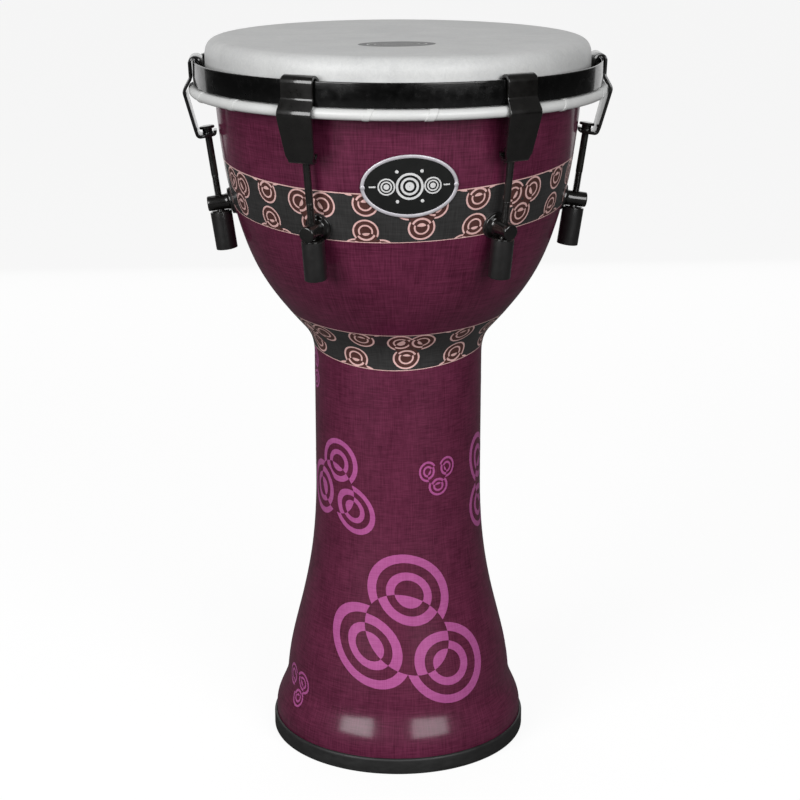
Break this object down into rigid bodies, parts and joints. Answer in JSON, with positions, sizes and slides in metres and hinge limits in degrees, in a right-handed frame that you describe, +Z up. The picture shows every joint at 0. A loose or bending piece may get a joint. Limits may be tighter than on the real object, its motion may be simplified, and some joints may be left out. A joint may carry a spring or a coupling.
{
  "type": "djembe",
  "caption": "Goblet-shaped hand drum with a moulded shell, rubber foot ring and a synthetic head pulled down by claws, tension rods and tuning nuts.",
  "frame": {"origin": "on the drum's axis, in the plane of the floor under the rubber foot ring", "axes": "+Z up the drum's axis towards the playing face; -Y towards the oval badge; +X towards lug 3, to the right of the badge"},
  "size_m": [0.3466, 0.339, 0.6],
  "materials": {
    "shell_laminate": "printed cloth laminate under clear semi-gloss lacquer",
    "foot_rubber": "satin black rubber",
    "gasket_rubber": "matt black rubber",
    "zinc_steel": "bright zinc plate",
    "core_steel": "plain steel",
    "badge_face": "gloss black enamel",
    "badge_metal": "satin nickel",
    "head_film": "fibre-mottled white film",
    "hoop_wrap_film": "white film folded over the hoop",
    "black_steel": "gloss black powder coat",
    "nut_cover": "satin black"
  },
  "bodies": {
    "shell": {"shell": "shell_laminate", "foot_ring": "foot_rubber", "lug_gaskets": "gasket_rubber", "lug_screws": "zinc_steel", "lug_backing_washers": "zinc_steel", "badge_plate": "badge_face", "badge_rim": "badge_metal", "badge_rivets": "badge_metal", "lug_post_1": "black_steel", "lug_post_2": "black_steel", "lug_post_3": "black_steel", "lug_post_4": "black_steel", "lug_post_5": "black_steel", "lug_post_6": "black_steel"},
    "head": {"drumhead_skin": "head_film", "hoop_wrap": "hoop_wrap_film", "flesh_hoop": "core_steel", "counter_hoop": "black_steel", "claw_1": "black_steel", "claw_2": "black_steel", "claw_3": "black_steel", "claw_4": "black_steel", "claw_5": "black_steel", "claw_6": "black_steel"},
    "rod_1": {"tension_rod_1": "black_steel", "rod_washer_1": "black_steel"},
    "nut_1": {"tuning_nut_1": "zinc_steel", "nut_sleeve_1": "nut_cover", "nut_washer_1": "black_steel"},
    "rod_2": {"tension_rod_2": "black_steel", "rod_washer_2": "black_steel"},
    "nut_2": {"tuning_nut_2": "zinc_steel", "nut_sleeve_2": "nut_cover", "nut_washer_2": "black_steel"},
    "rod_3": {"tension_rod_3": "black_steel", "rod_washer_3": "black_steel"},
    "nut_3": {"tuning_nut_3": "zinc_steel", "nut_sleeve_3": "nut_cover", "nut_washer_3": "black_steel"},
    "rod_4": {"tension_rod_4": "black_steel", "rod_washer_4": "black_steel"},
    "nut_4": {"tuning_nut_4": "zinc_steel", "nut_sleeve_4": "nut_cover", "nut_washer_4": "black_steel"},
    "rod_5": {"tension_rod_5": "black_steel", "rod_washer_5": "black_steel"},
    "nut_5": {"tuning_nut_5": "zinc_steel", "nut_sleeve_5": "nut_cover", "nut_washer_5": "black_steel"},
    "rod_6": {"tension_rod_6": "black_steel", "rod_washer_6": "black_steel"},
    "nut_6": {"tuning_nut_6": "zinc_steel", "nut_sleeve_6": "nut_cover", "nut_washer_6": "black_steel"}
  },
  "joints": [
    {"name": "head_lift", "type": "slide", "parent": "shell", "child": "head", "axis": [0, 0, 1], "range_m": [0, 0.00594]},
    {"name": "rod_1_slide", "type": "slide", "parent": "shell", "child": "rod_1", "axis": [-0.0696, -0.1205, 0.9903], "range_m": [0, 0.006]},
    {"name": "nut_1_turn", "type": "hinge", "parent": "shell", "child": "nut_1", "pos_m": [-0.07325, -0.12687, 0.4663], "axis": [0.0696, 0.1205, -0.9903], "range_deg": [0, 2161]},
    {"name": "rod_2_slide", "type": "slide", "parent": "shell", "child": "rod_2", "axis": [0.0696, -0.1205, 0.9903], "range_m": [0, 0.006]},
    {"name": "nut_2_turn", "type": "hinge", "parent": "shell", "child": "nut_2", "pos_m": [0.07325, -0.12687, 0.4663], "axis": [-0.0696, 0.1205, -0.9903], "range_deg": [0, 2161]},
    {"name": "rod_3_slide", "type": "slide", "parent": "shell", "child": "rod_3", "axis": [0.1392, 0, 0.9903], "range_m": [0, 0.006]},
    {"name": "nut_3_turn", "type": "hinge", "parent": "shell", "child": "nut_3", "pos_m": [0.1465, 0, 0.4663], "axis": [-0.1392, 0, -0.9903], "range_deg": [0, 2161]},
    {"name": "rod_4_slide", "type": "slide", "parent": "shell", "child": "rod_4", "axis": [0.0696, 0.1205, 0.9903], "range_m": [0, 0.006]},
    {"name": "nut_4_turn", "type": "hinge", "parent": "shell", "child": "nut_4", "pos_m": [0.07325, 0.12687, 0.4663], "axis": [-0.0696, -0.1205, -0.9903], "range_deg": [0, 2161]},
    {"name": "rod_5_slide", "type": "slide", "parent": "shell", "child": "rod_5", "axis": [-0.0696, 0.1205, 0.9903], "range_m": [0, 0.006]},
    {"name": "nut_5_turn", "type": "hinge", "parent": "shell", "child": "nut_5", "pos_m": [-0.07325, 0.12687, 0.4663], "axis": [0.0696, -0.1205, -0.9903], "range_deg": [0, 2161]},
    {"name": "rod_6_slide", "type": "slide", "parent": "shell", "child": "rod_6", "axis": [-0.1392, 0, 0.9903], "range_m": [0, 0.006]},
    {"name": "nut_6_turn", "type": "hinge", "parent": "shell", "child": "nut_6", "pos_m": [-0.1465, 0, 0.4663], "axis": [0.1392, 0, -0.9903], "range_deg": [0, 2161]}
  ],
  "couplings": [
    {"joint": "rod_1_slide", "follows": "head_lift", "ratio": 1.0098},
    {"joint": "nut_1_turn", "follows": "head_lift", "rad_per_m": 6344.9},
    {"joint": "rod_2_slide", "follows": "head_lift", "ratio": 1.0098},
    {"joint": "nut_2_turn", "follows": "head_lift", "rad_per_m": 6344.9},
    {"joint": "rod_3_slide", "follows": "head_lift", "ratio": 1.0098},
    {"joint": "nut_3_turn", "follows": "head_lift", "rad_per_m": 6344.9},
    {"joint": "rod_4_slide", "follows": "head_lift", "ratio": 1.0098},
    {"joint": "nut_4_turn", "follows": "head_lift", "rad_per_m": 6344.9},
    {"joint": "rod_5_slide", "follows": "head_lift", "ratio": 1.0098},
    {"joint": "nut_5_turn", "follows": "head_lift", "rad_per_m": 6344.9},
    {"joint": "rod_6_slide", "follows": "head_lift", "ratio": 1.0098},
    {"joint": "nut_6_turn", "follows": "head_lift", "rad_per_m": 6344.9}
  ]
}
